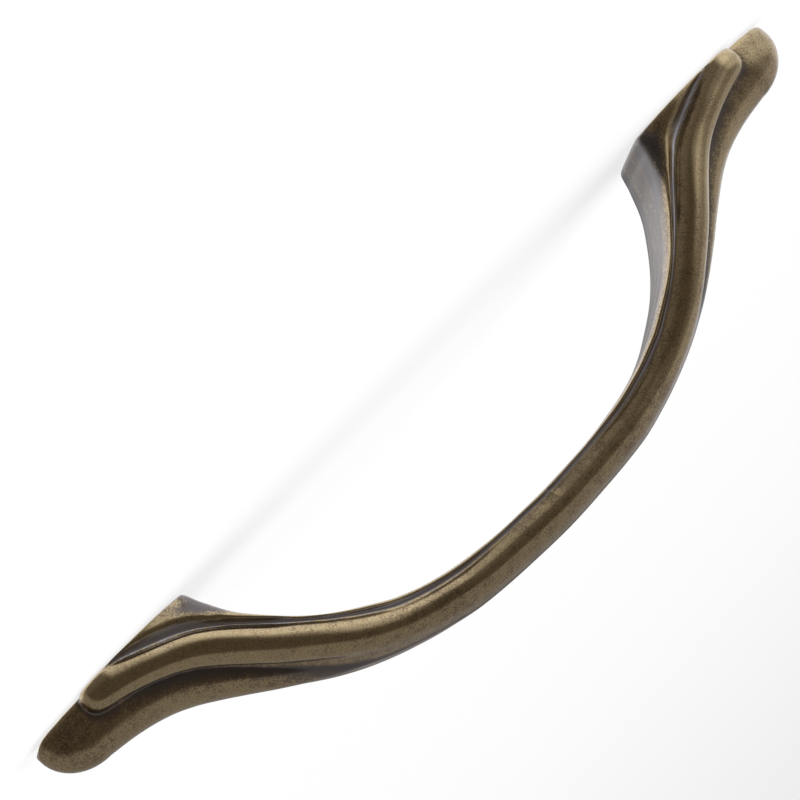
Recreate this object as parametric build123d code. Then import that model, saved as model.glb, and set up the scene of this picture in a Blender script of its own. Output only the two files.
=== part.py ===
from build123d import *
import os
from math import sqrt

# Arch pull: one die casting. A round bar bows over the hand space and splits at each foot into a centre
# strand and two side strands, with a web under them that widens into the flat foot.
# X runs along the pull, Y across it, and Z away from the cabinet front, which is the plane Z = 0.
# The origin lies on that plane, midway between the two tapped holes. Millimetres throughout.

# Driving dimensions
hole_spacing = 96.0  # centre to centre of the tapped holes
bow_height = 27.65  # cabinet front to the crown of the bow
toe_reach = 19.6  # hole centre out to the end of the centre strand
side_reach = 12.8  # hole centre out to the end of a side strand
heel_reach = 6.0  # hole centre in to the inner edge of the foot
bar_width = 9.4  # across the bar at mid-span
bar_depth = 5.4  # bar at mid-span, crown to where its round underside would end
web_width = 8.2  # across the web's ridges at mid-span
foot_width = 15.4  # across the web's ridges at the cabinet front
toe_width = 9.0  # across the centre strand at the foot
toe_height = 7.2  # crest of the centre strand where its rounded end begins
toe_round = 7.0  # length of the centre strand's rounded end
toe_level = 1.8  # where the centre strand's rounded end reaches furthest
side_width = 3.8  # across a side strand at the foot
side_height = 4.4  # crest of a side strand at the foot
side_round = 3.5  # length of a side strand's rounded end
side_level = 1.5  # where a side strand's rounded end reaches furthest
tap_drill = 3.3  # for an M4 thread
hole_depth = 8.0  # full-diameter depth of a tapped hole
mouth_chamfer = 0.4  # at the mouth of a tapped hole
drill_point = 1.0  # depth of the cone that the drill leaves

hole_x = hole_spacing / 2
toe_x = hole_x + toe_reach - toe_round
side_x = hole_x + side_reach - side_round
end_shares = (0.35, 0.6, 0.78, 0.9, 0.97)  # where a rounded end has its sections


def section(x, y, z, run, rise, half_width, half_height):
    """An ellipse centred at a point, square to the direction (run, 0, rise)."""
    plane = Plane(origin=(x, y, z), x_dir=(0, 1, 0), z_dir=(run, 0, rise))
    return plane * Ellipse(half_width, half_height)


def sections_along(stations):
    """Ellipses through stations of x, y, z, half width and half height, square to their line."""
    line = Spline([(x, y, z) for x, y, z, _, _ in stations])
    sections = []
    for x, y, z, half_width, half_height in stations:
        along = line.tangent_at(line.param_at_point((x, y, z)))
        sections.append(section(x, y, z, along.X, along.Z, half_width, half_height))
    return sections


def both_ways(stations):
    """Repeats stations given out from mid-span on the other half, so that one loft spans both feet."""
    return [(-station[0], *station[1:]) for station in reversed(stations[1:])] + stations


def strand(stations, nose, level):
    """A strand closed by a rounded end, where its sections shrink as a quarter ellipse does."""
    sections = sections_along(stations)
    x, y, z, half_width, half_height = stations[-1]
    for share in end_shares:
        shrink = sqrt(1 - share**2)
        place = (x + nose * share, y, level + (z - level) * shrink)
        sections.append(section(*place, 1, 0, half_width * shrink, half_height * shrink))
    sections.append(Vertex(x + nose, y, level))
    return loft(sections)


def web_section(under, top, edge, ridge, ridge_rise, hidden):
    """The web's outline, up from a point of the underside to one hidden inside the strands.

    Its half width is given at the underside, at the ridge some way up from there, and at the hidden top.
    """
    rise = Vector(top[0] - under[0], 0, top[1] - under[1])
    plane = Plane(origin=(under[0], 0, under[1]), x_dir=(0, 1, 0), z_dir=Vector(0, 1, 0).cross(rise))
    one_side = [(edge, 0), (ridge, ridge_rise), (hidden, rise.length)]
    other_side = [(-half_width, height) for half_width, height in reversed(one_side)]
    return plane * Polygon(*one_side, *other_side, align=None)


bar_stations = [
    (0, 0, bow_height - bar_depth / 2, bar_width / 2, bar_depth / 2),
    (14.1, 0, 24.2, 4.8, 2.65),
    (24.2, 0, 21.6, 5.2, 2.6),
    (32.3, 0, 17.6, 5.8, 2.6),
    (38.6, 0, 12.4, 5.5, 2.8),
    (43.8, 0, 7.6, 5.4, 3.3),
    (49.0, 0, 4.0, 5.6, 3.5),
    (56.0, 0, 1.4, 5.6, 3.0),
]
centre_stations = [
    (24.5, 0, 21.9, 0.9, 1.2),
    (29.0, 0, 20.3, 1.4, 1.65),
    (32.9, 0, 18.6, 1.9, 1.9),
    (39.6, 0, 14.1, 2.7, 2.3),
    (45.1, 0, 9.9, 3.3, 2.6),
    (50.6, 0, 6.4, 3.8, 3.05),
    (55.8, 0, 4.35, 4.2, 3.5),
    (toe_x, 0, toe_height / 2, toe_width / 2, toe_height / 2),
]
side_stations = [
    (21.0, 2.0, 22.3, 1.9, 1.9),
    (27.0, 3.2, 19.9, 2.4, 2.1),
    (32.5, 4.5, 16.7, 2.5, 2.1),
    (38.6, 5.5, 12.2, 2.4, 2.15),
    (44.4, 6.0, 7.9, 2.2, 2.2),
    (50.4, 6.2, 4.3, 2.0, 2.2),
    (side_x, 6.1, side_height - 2.4, side_width / 2, 2.4),
]
web_stations = [
    ((0, 22.5), (0, 24.1), web_width / 2 - 0.4, web_width / 2, 0.35, 3.2),
    ((13.7, 21.5), (14.0, 23.5), 3.9, 4.35, 0.35, 3.2),
    ((23.4, 18.8), (24.0, 21.0), 4.9, 5.3, 0.35, 3.6),
    ((31.1, 14.6), (31.9, 16.6), 6.5, 7.0, 0.4, 5.2),
    ((37.3, 8.8), (40.3, 11.4), 7.2, 7.7, 0.6, 5.9),
    ((40.4, 4.1), (47.0, 6.2), 6.7, 7.5, 2.5, 6.2),
    ((41.6, 1.3), (53.5, 2.4), 6.4, 7.7, 5.5, 6.6),
    ((hole_x - heel_reach + 0.4, -0.8), (59.5, -0.8), 6.0, foot_width / 2, 12.6, 6.7),
]

other_half = [((-under[0], under[1]), (-top[0], top[1]), *rest) for under, top, *rest in web_stations[1:]]
body = loft([web_section(*station) for station in [*reversed(other_half), *web_stations]])
bar = loft(sections_along(both_ways(bar_stations)))
body += bar

centre_strand = strand(centre_stations, toe_round, toe_level)
side_strand = strand(side_stations, side_round, side_level)
side_pair = [side_strand, mirror(side_strand, about=Plane.XZ)]
foot_strands = [centre_strand, *side_pair]
for piece in foot_strands + [mirror(piece, about=Plane.YZ) for piece in foot_strands]:
    body += piece

below_front = Pos(Z=-bow_height) * Box(2 * (hole_x + toe_reach), 2 * foot_width, 2 * bow_height)
body -= below_front

tapped_hole = Pos(Z=hole_depth / 2) * Cylinder(tap_drill / 2, hole_depth)
tapped_hole += Pos(Z=hole_depth + drill_point / 2) * Cone(tap_drill / 2, 0, drill_point)
tapped_hole += Pos(Z=mouth_chamfer / 2) * Cone(tap_drill / 2 + mouth_chamfer, tap_drill / 2, mouth_chamfer)
for x in (-hole_x, hole_x):
    body -= Pos(X=x) * tapped_hole

os.makedirs("parts", exist_ok=True)
export_step(body, "parts/pull.step")
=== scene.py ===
from functools import reduce
from math import cos, radians, sin, sqrt

import bpy
import numpy as np
from mathutils import Matrix, Vector


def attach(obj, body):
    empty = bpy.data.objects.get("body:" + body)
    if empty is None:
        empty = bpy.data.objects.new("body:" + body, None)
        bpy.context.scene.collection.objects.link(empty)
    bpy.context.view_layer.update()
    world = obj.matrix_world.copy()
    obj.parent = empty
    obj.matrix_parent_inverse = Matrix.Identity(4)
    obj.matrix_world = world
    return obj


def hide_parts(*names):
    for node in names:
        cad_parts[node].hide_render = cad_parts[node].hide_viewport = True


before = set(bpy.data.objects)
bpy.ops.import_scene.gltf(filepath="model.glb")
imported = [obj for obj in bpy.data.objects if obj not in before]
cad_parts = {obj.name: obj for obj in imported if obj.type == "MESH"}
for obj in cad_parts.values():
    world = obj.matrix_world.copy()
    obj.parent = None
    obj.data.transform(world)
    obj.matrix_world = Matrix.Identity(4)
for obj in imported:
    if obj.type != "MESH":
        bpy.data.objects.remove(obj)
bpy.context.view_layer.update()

MM = 0.001
TINY = 1e-3  # the least size that a shape shrinks to, in millimetres

# Where the section planes stand, out from mid-span, in millimetres. Each plane cuts the crest line at one of
# these points and the underside at the matching one, so that the planes fan out over the foot.
CREST_X = [0, 7, 14.4, 20, 24.9, 29.5, 33.5, 37.2, 40.9, 43.9, 46.7, 49.4, 52.1, 54.9, 57.6, 61.0]
CREST_Z = [27.65, 27.4, 26.8, 25.6, 24.1, 22.35, 20.45, 18.3, 15.9, 13.8, 11.9, 10.25, 9.0, 8.15, 7.6, 7.15]
UNDER_X = [0, 6.8, 13.7, 18.8, 23.4, 27.4, 31.1, 34.3, 37.3, 39.5, 41.1, 42.4, 45.0, 49.0, 53.5, 59.5]
UNDER_Z = [22.5, 22.3, 21.55, 20.5, 18.9, 16.85, 14.6, 11.95, 8.8, 5.8, 2.5, 0, 0, 0, 0, 0]

# The outline in each plane, in millimetres. The names that end in _w are half widths, and those that end in
# _d are depths below the crest.
# Bar: bar_top is its top's depth, and bar_up and bar_low are its heights above and below its widest level.
# Centre strand: centre_up is the height of its dome.
# Side strand: side_y is how far off the middle it lies, side_a and side_b are half its sizes, and side_lean is
# how far it leans, in degrees.
# Web: edge_w is at the underside, edge_round rounds that corner, and steep is how sharply it cuts the web off.
SHAPE = {
    "bar_w": [4.7, 4.7, 4.8, 4.95, 5.2, 5.6, 5.8, 5.6, 5.5, 5.5, 5.6, 5.8, 6.0, 5.8, 5.2, 3.6],
    "bar_top": [0, 0, 0, 0, 0, 0.1, 0.5, 1.1, 1.7, 2.1, 2.4, 2.6, 2.8, 3.1, 3.6, 4.6],
    "bar_up": [2.7, 2.7, 2.65, 2.6, 2.6, 2.6, 2.6, 2.6, 2.7, 2.9, 3.2, 3.4, 3.4, 3.2, 2.8, 1.8],
    "bar_low": [2.5, 2.45, 2.4, 2.35, 2.4, 2.6, 2.9, 3.3, 4.0, 5, 6, 6, 6, 6, 6, 6],
    "centre_w": [0.6, 0.6, 0.6, 0.7, 0.9, 1.25, 1.75, 2.2, 2.65, 3.0, 3.35, 3.65, 3.9, 4.15, 4.35, 4.5],
    "centre_up": [1.0, 1.0, 1.0, 1.0, 1.2, 1.5, 1.8, 2.0, 2.3, 2.6, 2.9, 3.3, 3.8, 4.5, 5.0, 5.3],
    "side_y": [1.6, 1.6, 1.8, 2.1, 2.6, 3.4, 4.3, 5.0, 5.45, 5.75, 5.9, 5.98, 6.08, 6.15, 6.12, 6.1],
    "side_d": [2.3, 2.3, 2.3, 2.3, 2.45, 2.75, 3.2, 3.65, 4.05, 4.45, 4.8, 5.05, 5.25, 5.5, 5.75, 6.1],
    "side_a": [2.2, 2.2, 2.3, 2.4, 2.55, 2.65, 2.65, 2.55, 2.5, 2.45, 2.35, 2.2, 2.1, 2.05, 2.1, 2.4],
    "side_b": [1.8, 1.8, 1.9, 2.0, 2.15, 2.25, 2.3, 2.3, 2.3, 2.25, 2.15, 2.05, 1.95, 1.95, 1.95, 1.95],
    "side_lean": [5, 5, 5, 6, 9, 13, 18, 23, 29, 35, 42, 50, 60, 72, 84, 90],
    "neck_d": [4.3, 4.2, 4.1, 3.85, 3.8, 4.55, 5.2, 5.75, 6.4, 6.85, 7.0, 7.05, 7.2, 7.5, 7.9, 7.3],
    "neck_w": [3.6, 3.6, 3.7, 3.95, 4.4, 5.2, 6.0, 6.4, 6.6, 6.6, 6.5, 6.45, 6.5, 6.7, 6.9, 6.0],
    "ridge_d": [4.9, 4.85, 4.9, 4.85, 4.9, 5.3, 5.75, 6.35, 7.2, 7.7, 8.2, 8.8, 9.1, 9.0, 8.4, 7.2],
    "ridge_w": [4.1, 4.1, 4.35, 4.7, 5.3, 6.2, 7.0, 7.4, 7.7, 7.65, 7.5, 7.45, 7.6, 7.8, 7.7, 6.6],
    "edge_w": [3.7, 3.7, 3.9, 4.3, 4.9, 5.8, 6.5, 6.8, 7.1, 7.0, 6.75, 6.5, 7.1, 7.6, 7.7, 6.6],
    "edge_round": [1.0, 1.0, 1.2, 1.6, 2.2, 2.8, 3.4, 3.8, 3.8, 3.4, 2.6, 1.6, 0.9, 0.5, 0.4, 0.4],
    "steep": [2, 2, 2, 2.4, 2.8, 3, 3, 3, 3, 2.4, 1.8, 1.2, 1, 1, 1, 1],
}

# The ends, along the crest line in millimetres
TOE_START, TOE_END = 61.0, 67.6  # the centre strand's rounded end
TOE_LEVEL = 1.7  # where it reaches furthest
TOE_LIFT = 0.72  # the share of the toe from which its underside lifts off the cabinet front
TOE_DOME, TOE_DOME_LEAST = 0.97, 0.01  # the dome as a share of the toe's height, and what is added
TIP_START, TIP_END = 58.8, 62.3  # the side strands' rounded ends
TIP_INWARD = 1.9  # how far a tip moves towards the middle
TIP_FADE = 4  # how far the bar and side strands draw in by the end of the tips
WEB_FADE, WEB_FADE_START, WEB_FADE_END = 12, 59.5, 64.5  # how far the web draws in, and between which points

# Roundings and fillets, in millimetres
BASE_X = [0, 40, 44, 50, 56, 59, 62, TOE_END]
BASE_ROUND = [0.9, 0.9, 1.0, 0.7, 0.5, 0.5, 0.9, 1.2]  # the edge at the cabinet front, at the points of BASE_X
SIDE_FILLET, CENTRE_FILLET, WEB_FILLET = 0.35, 0.35, 0.6
RIDGE_ROUND = 0.25

# The web
BAR_CUT = 0.65  # how far above the underside the bar stops inside the web
FLARE_POWER, FLARE_EXTRA = 1.6, 0.1  # how the width grows from neck to ridge, and by how much past the ridge's
FLARE_LIMIT = 3  # as a share of the way from neck to ridge
LEAST_BACK = 0.25  # the least depth from ridge to underside
HIDDEN_TOP = 0.75  # the web's top inside the strands, as a share of the neck's depth

# The grid
SECTIONS = 290  # planes from mid-span to one toe
AROUND = 124  # points round the casting in each plane
RAYS = 460  # directions tried in half a plane before the points are spaced out evenly
RAY_REACH, RAY_STEPS, RAY_HALVINGS = 15.0, 46, 16
RAY_START, RAY_START_EXTRA, RAY_START_MOST = 0.5, 0.15, 0.62  # shares of a plane's length, and millimetres
PLACING_STEPS = 6000
TIP_CROWD, TIP_CROWD_REACH = 3, 0.8  # how much closer the planes stand at the tips, and how far round them
FOOT_CROWD, FOOT_CROWD_START = 2, 38  # the same over the foot
TOE_CROWD, TOE_CROWD_LIMIT = 3, 1.0015  # the same towards the end of the toe

# Where the finish differs, or shade, highlights and a reflection are painted, in millimetres unless it says
# otherwise
TURN_TO_WEB = 0.1  # half the width over which strand turns to web
# painted shade on the web's underside: it starts at the first depth past the ridge and is full at the second
SHADE_BELOW_RIDGE = (0.1, 1.0)
UNDERSIDE_SHADE_X = (54, 48)  # the painted shade on the underside is gone at the first and full at the second
FLANK_REACH, FLANK_EDGE = 1.3, 0.2  # how far the groove's dark oxide, with painted shade, goes up the centre strand and up the side strand
PALE_REFLECTION_FLARE = (0.85, 0.65)  # shares of the way from neck to ridge where the painted pale reflection on the flare is gone and full
GROOVE_HIGHLIGHT_REACH = 0.35  # how far the painted highlight line above the web's groove goes up
RIDGE_HIGHLIGHT_WIDTH = 0.3  # half the width of the painted highlight line on the ridge, as a share of the flare
WORN_BULGE = 0.25  # a point that stands out this far is rubbed bare
BULGE_STEPS = 30  # how widely the surroundings of a point are averaged, in points

# The cutters for the tapped holes, in millimetres
HOLE_X = 48.0
HOLE_DEPTH, DRILL_POINT = 8.0, 1.0
THREAD_PITCH = 0.7
THREAD_INNER, THREAD_OUTER = 1.62, 2.0
THREAD_FADE = 0.5  # the length at the bottom over which the thread fades out
MOUTH_CHAMFER = 0.15  # beyond the thread's outer radius
HOLE_ROWS, HOLE_AROUND = 150, 72
CUT_BELOW = (-0.6, -0.3)  # heights of the cutter's rows below the cabinet front

# The finish. Each size of fleck has how wide it is in millimetres, its detail and its roughness.
FLECKS = {"fine": (0.20, 3.0, 0.6), "patch": (1.3, 3.0, 0.6), "broad": (6.0, 2.0, 0.5)}
PATCH_SHARE, BROAD_SHARE = 0.45, 0.30  # how much the larger flecks add to the fine ones
WEAR_AND_HIGHLIGHT_SHARE, OXIDE_AND_SHADE_SHARE, PALE_REFLECTION_SHARE = 0.14, -0.34, -0.25  # how much each mark adds: wear with painted highlights, oxide with painted shade, and a painted pale reflection
GOLD_FROM, GOLD_FULL = 0.36, 0.64  # where brown starts to turn to gold, and where it has
BROWNS = (0.27, 0.19, 0.11), (0.34, 0.25, 0.14)
BROWN_STEP = (0.35, 0.65)  # the values of the patch noise between which the first brown turns to the second
# dark oxide in the groove, with painted shade up the centre strand's flank and on the underside
OXIDE_AND_SHADE_BROWN = (0.165, 0.152, 0.148)
# a painted reflection: the lacquer's pale grey on the web's flare
PAINTED_REFLECTION_GREY = (0.58, 0.57, 0.60)
GOLDS = (0.50, 0.38, 0.20), (0.62, 0.50, 0.29)
GOLD_STEP = (0.4, 0.7)  # the same for the fine noise and the golds
ROUGH_BROWN, ROUGH_GOLD = 0.27, 0.20
BUMP, BUMP_HEIGHT = 0.35, 0.02
LACQUER, LACQUER_ROUGHNESS = 0.5, 0.12
FLECK_SLIDE = (11.37, 7.31, 4.19)  # keeps the noise's own grid off mid-span

# The room that the gloss shows. A patch of light is a product of smooth steps, each over one of the ways of
# looking: from one value of it to another, the light goes from one strength to another. x, y and z are the
# direction looked in, over is y + 0.35 x + 0.3 z with x held under 0.3, and back is 0.866 y - 0.5 z.
ROOM = {
    "left wall, dimmer above": [("x", -0.75, -0.30, 1.0, 0.0), ("z", 0.15, 0.50, 0.65, 0.20)],
    "behind": [("over", -0.21, -0.07, 0.0, 0.19)],
    "below": [("z", -1.0, -0.3, 0.10, 0.0)],
    "bright card low behind": [("back", 0.52, 0.88, 0.0, 1.15), ("z", -0.70, -0.22, 1.0, 0.0)],
    "low on the left": [("x", -0.55, -0.25, 0.45, 0.0), ("z", -0.45, -0.10, 1.0, 0.0)],
}
OVER_X_LIMIT, OVER_X, OVER_Z = 0.3, 0.35, 0.3
BACK_Y, BACK_Z = 0.866, -0.5
ROOM_DARK, ROOM_BRIGHT = (0.100, 0.085, 0.075), (1.0, 1.0, 1.05)

# The floor, in metres
FLOOR_HALF, FLOOR_DROP = 6, 0.00005
PAPER = 0.86
PAPER_WHITE = 0.8  # the share of plain white that the camera sees in it

# The photograph's camera: angles in degrees, its distance in millimetres, and the pixels in a millimetre at the
# origin. The origin's place is given along the picture's diagonals, in pixels.
AZIMUTH, ELEVATION, ROLL = 20.32, 7.98, 3.03
DISTANCE, SCALE = 658.55, 8.08
ORIGIN_ACROSS, ORIGIN_DOWN = 20.72, 552.95
PICTURE = 800
SENSOR = 36


def share(value, start, end):
    """How far a value has come from start to end, held between 0 and 1."""
    return np.clip((value - start) / (end - start), 0, 1)


def quarter(t):
    """The height of a quarter circle: 1 where t is 0, and 0 where t is 1."""
    return np.sqrt(np.maximum(1 - t**2, 0))


def through(x, xs, ys):
    """A cubic through stations, sloped at each by the weighted harmonic mean of the slopes beside it."""
    xs, ys = np.asarray(xs, float), np.asarray(ys, float)
    step = np.diff(xs)
    slope = np.diff(ys) / step
    before, after = 2 * step[1:] + step[:-1], step[1:] + 2 * step[:-1]
    tangent = np.zeros(len(xs))
    same = slope[:-1] * slope[1:] > 0
    safe = np.where(same, slope[:-1], 1), np.where(same, slope[1:], 1)
    tangent[1:-1] = np.where(same, (before + after) / (before / safe[0] + after / safe[1]), 0)
    tangent[-1] = slope[-1]
    i = np.clip(np.searchsorted(xs, x) - 1, 0, len(step) - 1)
    t = (x - xs[i]) / step[i]
    ends = (1 + 2 * t) * (1 - t) ** 2 * ys[i] + t * t * (3 - 2 * t) * ys[i + 1]
    return ends + step[i] * (t * (1 - t) ** 2 * tangent[i] + t * t * (t - 1) * tangent[i + 1])


def join(a, b, radius):
    """The smaller of two distances, less a parabola where they are alike, which fills the corner."""
    part = np.clip(0.5 + 0.5 * (b - a) / radius, 0, 1)
    return b + (a - b) * part - radius * part * (1 - part)


def trim(a, b, radius):
    """The larger of two distances, with the corner rounded off in the same way."""
    return -join(-a, -b, radius)


def beyond_ellipse(y, d, half_width, half_height):
    """Distance outside an ellipse: its implicit value over the length of that value's gradient."""
    value = np.sqrt((y / half_width) ** 2 + (d / half_height) ** 2) + 1e-9
    slope = np.sqrt((y / half_width**2) ** 2 + (d / half_height**2) ** 2) + 1e-9
    return value * (value - 1) / slope


def plane_places():
    """Where the planes stand along the crest: at even steps of the running sum of how closely they stand."""
    along = TOE_END * np.linspace(0, 1, PLACING_STEPS)
    crowd = 1 + TIP_CROWD * np.exp(-(((along - TIP_END) / TIP_CROWD_REACH) ** 2))
    crowd = crowd + FOOT_CROWD * (along > FOOT_CROWD_START)
    crowd = crowd + TOE_CROWD / np.sqrt(TOE_CROWD_LIMIT - share(along, TOE_START, TOE_END))
    placed = np.concatenate([[0], np.cumsum((crowd[1:] + crowd[:-1]) / 2)])
    return np.interp(np.linspace(0, 1, SECTIONS), placed / placed[-1], along)


def section_planes(x):
    """Every plane's values as columns: its outline, its points of crest and underside, and its way down.

    Up to the toe they run through the stations. In the toe the crest falls to the toe's level as a quarter
    ellipse does, the centre strand narrows in step, and the underside runs on and lifts to meet the crest. A
    side strand's tip shrinks as a quarter ellipse and moves inward by the square of the way along it.
    """
    inner_x = np.minimum(x, TOE_START)
    q = {name: through(inner_x, CREST_X, values) for name, values in SHAPE.items()}
    crest_z, under_x, under_z = (through(inner_x, CREST_X, values) for values in (CREST_Z, UNDER_X, UNDER_Z))
    in_toe, toe = x > TOE_START, share(x, TOE_START, TOE_END)
    crest_z = TOE_LEVEL + (crest_z - TOE_LEVEL) * quarter(toe)
    under_x = np.where(in_toe, UNDER_X[-1] + (TOE_END - UNDER_X[-1]) * toe, under_x)
    under_z = np.where(in_toe, TOE_LEVEL * (1 - quarter(share(toe, TOE_LIFT, 1))), under_z)
    q["centre_w"] = q["centre_w"] * quarter(toe)
    q["centre_up"] = np.where(in_toe, (crest_z - TOE_LEVEL) * TOE_DOME + TOE_DOME_LEAST, q["centre_up"])
    tip = share(x, TIP_START, TIP_END)
    q["tip"], q["inward"], q["fade"] = quarter(tip), TIP_INWARD * tip**2, TIP_FADE * tip**6
    q["web_fade"] = WEB_FADE * share(x, WEB_FADE_START, WEB_FADE_END) ** 2
    q["base_round"] = through(x, BASE_X, BASE_ROUND)
    q["length"] = np.hypot(x - under_x, crest_z - under_z) + 1e-6
    q["down_x"], q["down_z"] = (under_x - x) / q["length"], (under_z - crest_z) / q["length"]
    q["crest_x"], q["crest_z"] = x, crest_z
    return {name: values[:, None] for name, values in q.items()}


def flare_at(q, d):
    """How far down the web a depth lies: 0 at the neck, 1 at the ridge, and more below it."""
    return np.clip((d - q["neck_d"]) / (q["ridge_d"] - q["neck_d"]), 0, FLARE_LIMIT)


def surfaces(q, y, d):
    """Distances outside the centre strand, the bar with its side strand, and the web, in every plane.

    Centre strand: an ellipse above its widest level, and upright flanks below. Bar: two half ellipses. Side
    strand: a leaning ellipse. Web: a half width that grows with a power of the flare down to the ridge, then
    falls in a straight line to the underside, whose corner is rounded off.
    """
    over = d - q["centre_up"]
    width = np.maximum(q["centre_w"], TINY)
    dome = beyond_ellipse(y, over, width, np.maximum(q["centre_up"], TINY))
    centre = np.maximum(np.where(over < 0, dome, y - width), d - q["length"])

    below = d - q["bar_top"] - q["bar_up"]
    bar = beyond_ellipse(y, below, q["bar_w"], np.where(below < 0, q["bar_up"], q["bar_low"]))
    bar = np.maximum(bar, d - q["length"] + BAR_CUT)

    lean = np.radians(q["side_lean"])
    side_y, side_d = y - q["side_y"] + q["inward"], d - q["side_d"]
    across = side_y * np.cos(lean) + side_d * np.sin(lean)
    deep = side_d * np.cos(lean) - side_y * np.sin(lean)
    sizes = [np.maximum(q[name] * q["tip"], TINY) for name in ("side_a", "side_b")]
    side = beyond_ellipse(across, deep, *sizes)

    out = q["neck_w"] + (q["ridge_w"] + FLARE_EXTRA - q["neck_w"]) * flare_at(q, d) ** FLARE_POWER
    fall = (q["ridge_w"] - q["edge_w"]) / np.maximum(q["length"] - q["ridge_d"], LEAST_BACK)
    back = q["ridge_w"] - fall * (d - q["ridge_d"])
    web = trim(y - join(out, back, RIDGE_ROUND), q["steep"] * (d - q["length"]), q["edge_round"])
    web = np.maximum(web, HIDDEN_TOP * q["neck_d"] - d)
    return centre, join(bar, side, SIDE_FILLET) + q["fade"], web + q["web_fade"]


def outline(q):
    """Where rays from inside every plane leave the casting: off the middle, and below the crest.

    The three distances are joined and cut off by the cabinet front. A ray is followed inward until the
    distance falls below zero, and that step is then halved over and over.
    """
    length = q["length"]
    start = np.minimum(RAY_START * length + RAY_START_EXTRA, RAY_START_MOST * length)
    angle = np.linspace(0, np.pi, RAYS)[None, :]

    def place(reach):
        return reach * np.sin(angle), start - reach * np.cos(angle)

    def distance(reach):
        y, d = place(reach)
        centre, core, web = surfaces(q, y, d)
        joined = join(centre, join(core, web, WEB_FILLET), CENTRE_FILLET)
        return trim(joined, -(q["crest_z"] + d * q["down_z"]), q["base_round"])

    shape = (SECTIONS, RAYS)
    outer, inner, found = np.full(shape, RAY_REACH), np.zeros(shape), np.zeros(shape, bool)
    steps = np.linspace(RAY_REACH, 0, RAY_STEPS)
    for far, near in zip(steps[:-1], steps[1:]):
        new = (distance(np.full(shape, near)) < 0) & ~found
        inner[new], outer[new] = near, far
        found |= new
    for _ in range(RAY_HALVINGS):
        middle = (inner + outer) / 2
        inside = distance(middle) < 0
        inner, outer = np.where(inside, middle, inner), np.where(inside, outer, middle)
    return place((inner + outer) / 2)


def finish_marks(q, y, d):
    """Where the finish differs and where shade, highlights and a reflection are painted, as three marks between
    0 and 1.

    Oxide and shade: dark oxide in the groove, spreading up the centre strand's flank as painted shade and
    fading with the distance from its groove, and painted shade on the underside. Pale reflection: a painted
    pale reflection on the web's flare above the ridge. Highlight lines: painted highlights along the web's
    groove and ridge.
    """
    centre, core, web = surfaces(q, y, d)
    strands = np.minimum(core, centre)
    on_web = share(web - strands, TURN_TO_WEB, -TURN_TO_WEB)
    flare = flare_at(q, d)
    # painted shade on the underside below the ridge, away from the feet
    underside_shade = share(d - q["ridge_d"], *SHADE_BELOW_RIDGE) * share(q["crest_x"], *UNDERSIDE_SHADE_X)
    # the groove's dark oxide, spreading up the centre strand's flank as painted shade
    apart = core - centre
    past_groove = np.exp(np.minimum(apart, 0) / FLANK_EDGE)
    flank = np.where(apart > 0, np.exp(-((apart / FLANK_REACH) ** 2)), past_groove)
    # painted highlights along the web's groove and ridge
    groove_highlight = (1 - on_web) * np.exp(-np.maximum(web - strands, 0) / GROOVE_HIGHLIGHT_REACH)
    ridge_highlight = on_web * np.exp(-(((flare - 1) / RIDGE_HIGHLIGHT_WIDTH) ** 2))
    return np.maximum(flank, on_web * underside_shade), on_web * share(flare, *PALE_REFLECTION_FLARE), groove_highlight + ridge_highlight


def evenly_round(y, d, marks):
    """The outline and its marks at even steps of arc length from the crest round to the underside."""
    arc = np.cumsum(np.hypot(np.diff(y, axis=1), np.diff(d, axis=1)) + 1e-7, 1)
    arc = np.concatenate([np.zeros((SECTIONS, 1)), arc / arc[:, -1:]], 1)
    row = 2.0 * np.arange(SECTIONS)[:, None]
    wanted, given = np.linspace(0, 1, AROUND // 2 + 1)[None, :] + row, arc + row
    return [np.interp(wanted, given.ravel(), values.ravel()) for values in (y, d, *marks)]


def whole(values, sign_x=1, sign_y=1):
    """A quarter of the grid repeated round the other side, and then on the other half of the pull."""
    ring = np.concatenate([values, sign_y * values[:, -2:0:-1]], 1)
    return np.concatenate([sign_x * ring[:0:-1], ring])


def casting():
    """The casting as a grid of points, planes along the pull by points round it, and its marks of finish and
    painted light.
    """
    q = section_planes(plane_places())
    y, d = outline(q)
    y, d, *marks = evenly_round(y, d, finish_marks(q, y, d))
    x, z = q["crest_x"] + d * q["down_x"], q["crest_z"] + d * q["down_z"]
    points = np.stack([whole(x, sign_x=-1), whole(y, sign_y=-1), whole(z)], -1)
    return points, [whole(values) for values in marks]


def closed_grid(name, points, attributes=None):
    """A mesh from a grid that closes on itself round the second way, with its end rows as single points."""
    rows, columns = points.shape[:2]
    middle = points[1:-1].reshape(-1, 3)
    vertices = np.concatenate([points[:1, 0], middle, points[-1:, 0]]) * MM
    index = 1 + np.arange((rows - 2) * columns).reshape(rows - 2, columns)
    beside = np.roll(index, -1, 1)
    quads = np.stack([index[:-1], beside[:-1], beside[1:], index[1:]], -1).reshape(-1, 4)[:, ::-1]
    last = len(vertices) - 1
    start = np.stack([np.zeros(columns, int), beside[0], index[0]], -1)[:, ::-1]
    end = np.stack([np.full(columns, last), index[-1], beside[-1]], -1)[:, ::-1]
    mesh = bpy.data.meshes.new(name)
    mesh.from_pydata(vertices.tolist(), [], quads.tolist() + start.tolist() + end.tolist())
    mesh.polygons.foreach_set("use_smooth", np.ones(len(mesh.polygons), bool))
    for key, values in (attributes or {}).items():
        flat = np.concatenate([values[:1, 0], values[1:-1].ravel(), values[-1:, 0]])
        mesh.attributes.new(key, "FLOAT", "POINT").data.foreach_set("value", flat.astype(np.float32))
    mesh.update()
    obj = bpy.data.objects.new(name, mesh)
    bpy.context.collection.objects.link(obj)
    return obj


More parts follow.
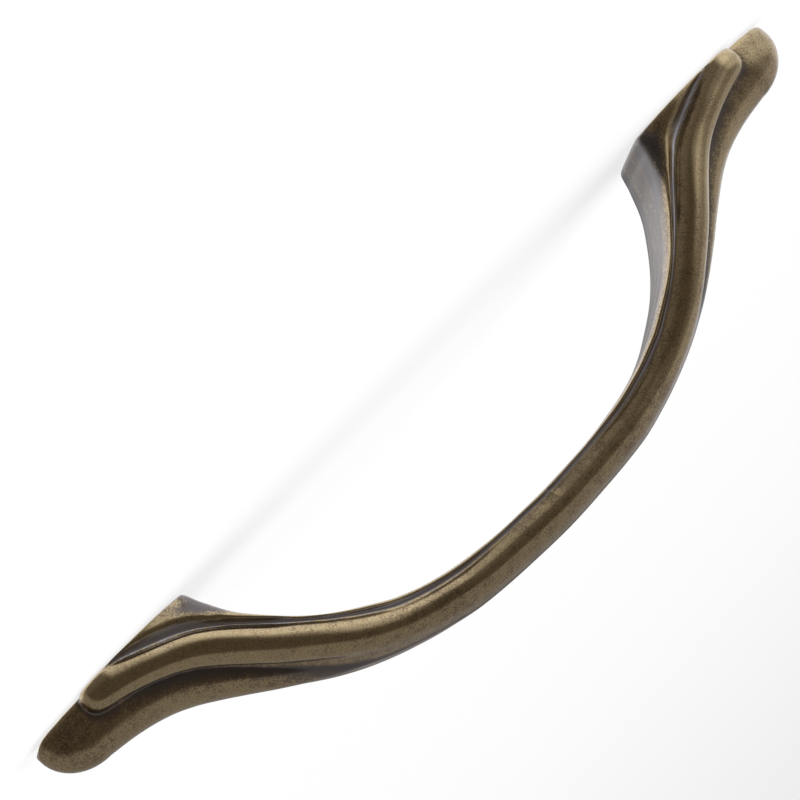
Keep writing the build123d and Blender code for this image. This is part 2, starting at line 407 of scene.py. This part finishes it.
def tapped_hole(name, at):
    """A cutter for one tapped hole: a cylinder whose radius rises and falls in a spiral, then a point.

    Radius = inner + (outer - inner) x a triangle wave of (height / pitch - turn), fading out near the bottom
    and never less than the chamfer at the mouth. Its faces point inwards, which is a known fault.
    """
    turn = np.linspace(0, 1, HOLE_AROUND, endpoint=False)[None, :]
    bottom = [HOLE_DEPTH + TINY, HOLE_DEPTH + DRILL_POINT]
    height = np.concatenate([CUT_BELOW, np.linspace(0, HOLE_DEPTH, HOLE_ROWS), bottom])[:, None]
    wave = np.abs(2 * ((height / THREAD_PITCH - turn) % 1) - 1)
    fade = share(height, HOLE_DEPTH - THREAD_FADE, HOLE_DEPTH - 2 * THREAD_FADE) * (height < HOLE_DEPTH)
    radius = THREAD_INNER + (THREAD_OUTER - THREAD_INNER) * wave * fade
    radius = np.maximum(radius, THREAD_OUTER + MOUTH_CHAMFER - np.maximum(height, 0))
    radius = np.where(height > HOLE_DEPTH + DRILL_POINT / 2, 0, radius)
    radius[0] = 0
    angle = 2 * np.pi * turn
    grid = np.stack([at + radius * np.cos(angle), radius * np.sin(angle), height + 0 * angle], -1)
    return closed_grid(name, grid)


def widely(values, steps):
    """Each point's average with its neighbours both ways over the grid, taken some number of times."""
    for _ in range(steps):
        beside = (np.roll(values, 1, 1) + np.roll(values, -1, 1)) / 2
        ends = np.concatenate([values[:1], values, values[-1:]])
        values = (values + beside + (ends[:-2] + ends[2:]) / 2) / 3
    return values


def roundness(points):
    """How far each point stands out from the average of its surroundings, outward positive."""
    along = np.gradient(points, axis=0)
    across = np.roll(points, -1, 1) - np.roll(points, 1, 1)
    normal = np.cross(along, across)
    normal /= np.linalg.norm(normal, axis=-1, keepdims=True) + 1e-9
    return np.sum((points - widely(points, BULGE_STEPS)) * normal, -1)


def math_node(tree, operation, a, b):
    """A Math node on sockets or plain numbers, which gives its output socket."""
    made = tree.nodes.new("ShaderNodeMath")
    made.operation = operation
    for socket, value in zip(made.inputs, (a, b)):
        if isinstance(value, (int, float)):
            socket.default_value = value
        else:
            tree.links.new(value, socket)
    return made.outputs[0]


def chain(tree, operation, sockets):
    """All the sockets put through one operation, from left to right."""
    return reduce(lambda total, socket: math_node(tree, operation, total, socket), sockets)


def weighted(tree, *terms):
    """The sum of the sockets, each times its weight, from left to right."""
    return chain(tree, "ADD", [math_node(tree, "MULTIPLY", source, weight) for source, weight in terms])


def ramp(tree, value, low, high, out_low=0.0, out_high=1.0):
    """A smooth step from one value to another, as an output socket."""
    made = tree.nodes.new("ShaderNodeMapRange")
    made.interpolation_type = "SMOOTHSTEP"
    for name, number in (("From Min", low), ("From Max", high), ("To Min", out_low), ("To Max", out_high)):
        made.inputs[name].default_value = number
    tree.links.new(value, made.inputs["Value"])
    return made.outputs["Result"]


def noise(tree, place, size, detail, roughness):
    """Noise whose patches are about that many millimetres across."""
    made = tree.nodes.new("ShaderNodeTexNoise")
    made.inputs["Scale"].default_value = 1 / (size * MM)
    made.inputs["Detail"].default_value = detail
    made.inputs["Roughness"].default_value = roughness
    tree.links.new(place, made.inputs["Vector"])
    return made.outputs[0]


def mark(tree, name):
    """One of the casting's marks of finish or painted light, as an output socket."""
    made = tree.nodes.new("ShaderNodeAttribute")
    made.attribute_name = name
    return made.outputs["Fac"]


def mix_colour(tree, part, a, b):
    """From colour a to colour b, which are sockets or plain colours."""
    made = tree.nodes.new("ShaderNodeMix")
    made.data_type = "RGBA"
    tree.links.new(part, made.inputs["Factor"])
    for socket, value in ((made.inputs[6], a), (made.inputs[7], b)):
        if isinstance(value, tuple):
            socket.default_value = (*value, 1)
        else:
            tree.links.new(value, socket)
    return made.outputs[2]


def empty_tree(owner, output_kind):
    """A material's or world's node tree with nothing in it but its output."""
    owner.use_nodes = True
    tree = owner.node_tree
    tree.nodes.clear()
    return tree, tree.nodes.new(output_kind)


def antique_brass():
    """Lacquered brown oxide over brass: gold flecks, dark oxide in hollows with painted shade, a painted pale
    reflection on the flare, and gold along the edges, partly wear and partly painted highlights.

    How gold a point is = fine flecks + shares of the larger flecks, less a half, + shares of the marks.
    """
    material = bpy.data.materials.new("antique_brass")
    tree, output = empty_tree(material, "ShaderNodeOutputMaterial")
    slide = tree.nodes.new("ShaderNodeMapping")
    slide.inputs["Location"].default_value = [length * MM for length in FLECK_SLIDE]
    tree.links.new(tree.nodes.new("ShaderNodeTexCoord").outputs["Object"], slide.inputs["Vector"])
    fine, patch, broad = (noise(tree, slide.outputs["Vector"], *fleck) for fleck in FLECKS.values())
    wear_and_highlight, oxide_and_shade, pale_reflection = (mark(tree, name) for name in ("wear_and_highlight", "oxide_and_shade", "pale_reflection"))
    level = weighted(
        tree,
        (fine, 1.0),
        (math_node(tree, "SUBTRACT", patch, 0.5), PATCH_SHARE),
        (math_node(tree, "SUBTRACT", broad, 0.5), BROAD_SHARE),
        (wear_and_highlight, WEAR_AND_HIGHLIGHT_SHARE),
        (oxide_and_shade, OXIDE_AND_SHADE_SHARE),
        (pale_reflection, PALE_REFLECTION_SHARE),
    )
    fleck = ramp(tree, level, GOLD_FROM, GOLD_FULL)
    brown = mix_colour(tree, ramp(tree, patch, *BROWN_STEP), *BROWNS)
    # dark oxide with painted shade
    brown = mix_colour(tree, oxide_and_shade, brown, OXIDE_AND_SHADE_BROWN)
    # a painted pale reflection on the flare
    brown = mix_colour(tree, pale_reflection, brown, PAINTED_REFLECTION_GREY)
    gold = mix_colour(tree, ramp(tree, fine, *GOLD_STEP), *GOLDS)
    bump = tree.nodes.new("ShaderNodeBump")
    bump.inputs["Strength"].default_value = BUMP
    bump.inputs["Distance"].default_value = BUMP_HEIGHT * MM
    tree.links.new(level, bump.inputs["Height"])
    shader = tree.nodes.new("ShaderNodeBsdfPrincipled")
    shader.inputs["Metallic"].default_value = 1.0
    shader.inputs["Coat Weight"].default_value = LACQUER
    shader.inputs["Coat Roughness"].default_value = LACQUER_ROUGHNESS
    tree.links.new(mix_colour(tree, fleck, brown, gold), shader.inputs["Base Color"])
    tree.links.new(ramp(tree, fleck, 0.0, 1.0, ROUGH_BROWN, ROUGH_GOLD), shader.inputs["Roughness"])
    tree.links.new(bump.outputs[0], shader.inputs["Normal"])
    tree.links.new(shader.outputs[0], output.inputs[0])
    return material


def build_casting():
    """The dressed casting: the grid, cut with the two cutters for the tapped holes.

    Because the cutters' faces point inwards, the cut takes nothing out and leaves only small facets under the
    feet: the holes are in the solid and not here. Wear and highlight = the larger of the painted highlight
    lines and how far a point bulges, over the bulge that is rubbed bare: real wear on the bulges, painted
    highlights along the web's groove and ridge.
    """
    points, (oxide_and_shade, pale_reflection, highlight_lines) = casting()
    # real wear on the bulges, and painted highlights along the web's groove and ridge
    wear_and_highlight = np.clip(np.maximum(roundness(points) / WORN_BULGE, highlight_lines), 0, 1)
    obj = closed_grid("casting", points, {"wear_and_highlight": wear_and_highlight, "oxide_and_shade": oxide_and_shade, "pale_reflection": pale_reflection})
    obj.data.materials.append(antique_brass())
    cutters = [tapped_hole(f"tapped_hole_{i}", x) for i, x in enumerate((-HOLE_X, HOLE_X))]
    for cutter in cutters:
        modifier = obj.modifiers.new("hole", "BOOLEAN")
        modifier.operation = "DIFFERENCE"
        modifier.solver = "EXACT"
        modifier.object = cutter
    graph = bpy.context.evaluated_depsgraph_get()
    cut = bpy.data.meshes.new_from_object(obj.evaluated_get(graph))
    obj.modifiers.clear()
    obj.data = cut
    for cutter in cutters:
        bpy.data.objects.remove(cutter)
    return obj


def floor_material():
    """White paper: diffuse, with plain white mixed in for the camera so that only a soft shadow shows."""
    material = bpy.data.materials.new("floor_paper")
    tree, output = empty_tree(material, "ShaderNodeOutputMaterial")
    paper = tree.nodes.new("ShaderNodeBsdfDiffuse")
    paper.inputs["Color"].default_value = (PAPER, PAPER, PAPER, 1)
    white = tree.nodes.new("ShaderNodeEmission")
    white.inputs["Color"].default_value = (1, 1, 1, 1)
    white.inputs["Strength"].default_value = 1.0
    mixed = tree.nodes.new("ShaderNodeMixShader")
    path = tree.nodes.new("ShaderNodeLightPath")
    tree.links.new(math_node(tree, "MULTIPLY", path.outputs["Is Camera Ray"], PAPER_WHITE), mixed.inputs[0])
    tree.links.new(paper.outputs[0], mixed.inputs[1])
    tree.links.new(white.outputs[0], mixed.inputs[2])
    tree.links.new(mixed.outputs[0], output.inputs[0])
    return material


def floor():
    """A level square of paper just under the feet, left out of the gloss because the world stands in for it."""
    corners = [(x * FLOOR_HALF, y * FLOOR_HALF, -FLOOR_DROP) for x, y in ((-1, -1), (1, -1), (1, 1), (-1, 1))]
    mesh = bpy.data.meshes.new("floor")
    mesh.from_pydata(corners, [], [(0, 1, 2, 3)])
    mesh.materials.append(floor_material())
    obj = bpy.data.objects.new("floor", mesh)
    bpy.context.collection.objects.link(obj)
    obj.visible_glossy = False
    return obj


def room():
    """The world: white to the camera, and otherwise the sum of the room's patches of light over its dark."""
    world = bpy.data.worlds.new("studio")
    bpy.context.scene.world = world
    tree, output = empty_tree(world, "ShaderNodeOutputWorld")
    toward = tree.nodes.new("ShaderNodeSeparateXYZ")
    tree.links.new(tree.nodes.new("ShaderNodeTexCoord").outputs["Generated"], toward.inputs[0])
    x, y, z = toward.outputs
    looks = {
        "x": x,
        "z": z,
        "over": weighted(tree, (math_node(tree, "MINIMUM", x, OVER_X_LIMIT), OVER_X), (z, OVER_Z), (y, 1.0)),
        "back": weighted(tree, (y, BACK_Y), (z, BACK_Z)),
    }
    patches = [
        chain(tree, "MULTIPLY", [ramp(tree, looks[look], *step) for look, *step in steps])
        for steps in ROOM.values()
    ]
    shade = mix_colour(tree, chain(tree, "ADD", patches), ROOM_DARK, ROOM_BRIGHT)
    path = tree.nodes.new("ShaderNodeLightPath")
    light = tree.nodes.new("ShaderNodeBackground")
    light.inputs["Strength"].default_value = 1.0
    seen = mix_colour(tree, path.outputs["Is Camera Ray"], shade, (1.0, 1.0, 1.0))
    tree.links.new(seen, light.inputs["Color"])
    tree.links.new(light.outputs[0], output.inputs[0])


def lamp(name, place, size, power):
    """A rectangular lamp aimed at the origin, which the gloss doesn't show."""
    data = bpy.data.lights.new(name, "AREA")
    data.shape = "RECTANGLE"
    data.size, data.size_y = size
    data.energy = power
    obj = bpy.data.objects.new(name, data)
    obj.location = place
    obj.visible_glossy = False
    obj.rotation_euler = (-Vector(place)).to_track_quat("-Z", "Y").to_euler()
    bpy.context.collection.objects.link(obj)


def camera():
    """The photograph's camera: turned and raised about the origin, rolled, and slid off the middle."""
    azimuth, elevation, roll = radians(AZIMUTH), radians(ELEVATION), radians(ROLL)
    slide_u, slide_v = ORIGIN_ACROSS / SCALE, (ORIGIN_DOWN - PICTURE / 2 * sqrt(2)) / SCALE
    back = Vector((sin(azimuth) * cos(elevation), -cos(azimuth) * cos(elevation), sin(elevation)))
    level = -Vector((cos(azimuth), sin(azimuth), 0))
    rise = Vector((-sin(azimuth) * sin(elevation), cos(azimuth) * sin(elevation), cos(elevation)))
    across = cos(roll) * level + sin(roll) * rise
    upward = cos(roll) * rise - sin(roll) * level
    right, up = (across + upward) / sqrt(2), (across - upward) / sqrt(2)
    place = DISTANCE * back - slide_u * across - slide_v * upward
    data = bpy.data.cameras.new("camera")
    data.sensor_width = SENSOR
    data.lens = SENSOR * DISTANCE * SCALE / PICTURE
    data.clip_start, data.clip_end = 0.01, 50
    obj = bpy.data.objects.new("camera", data)
    turn = Matrix((right, up, back)).transposed().to_4x4()
    obj.matrix_world = Matrix.Translation(place * MM) @ turn
    bpy.context.collection.objects.link(obj)
    bpy.context.scene.camera = obj


pull = build_casting()
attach(pull, "root")
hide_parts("pull")

floor()
room()
lamp("overhead", place=(0.1, 0.1, 1.2), size=(1.2, 1.2), power=14)
lamp("front_high", place=(-0.5, -0.8, 0.9), size=(0.7, 0.5), power=6)
camera()

bpy.context.scene.view_settings.view_transform = "Standard"
